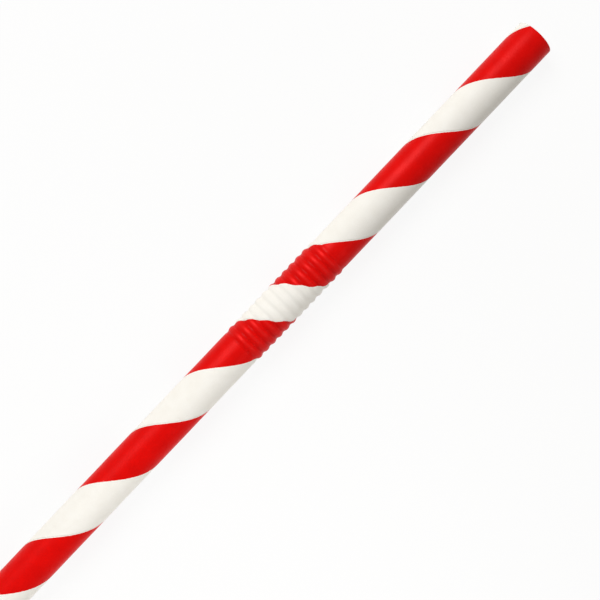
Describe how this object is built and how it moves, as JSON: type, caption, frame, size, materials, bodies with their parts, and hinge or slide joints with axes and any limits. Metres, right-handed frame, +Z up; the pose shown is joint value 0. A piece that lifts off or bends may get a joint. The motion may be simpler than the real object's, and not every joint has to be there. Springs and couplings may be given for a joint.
{
  "type": "paper drinking straw",
  "caption": "Straight paper drinking straw with red and white spiral stripes and a neck of pressed ripples that lets its mouth end bend.",
  "frame": {"origin": "on the surface that the straw lies on, under the middle of its length", "axes": "+X along the tube towards the mouth end, +Z up from the surface"},
  "size_m": [0.197, 0.0062, 0.0061],
  "materials": {
    "striped_paper": "satin"
  },
  "bodies": {
    "root": {"straw": "striped_paper"}
  },
  "joints": []
}
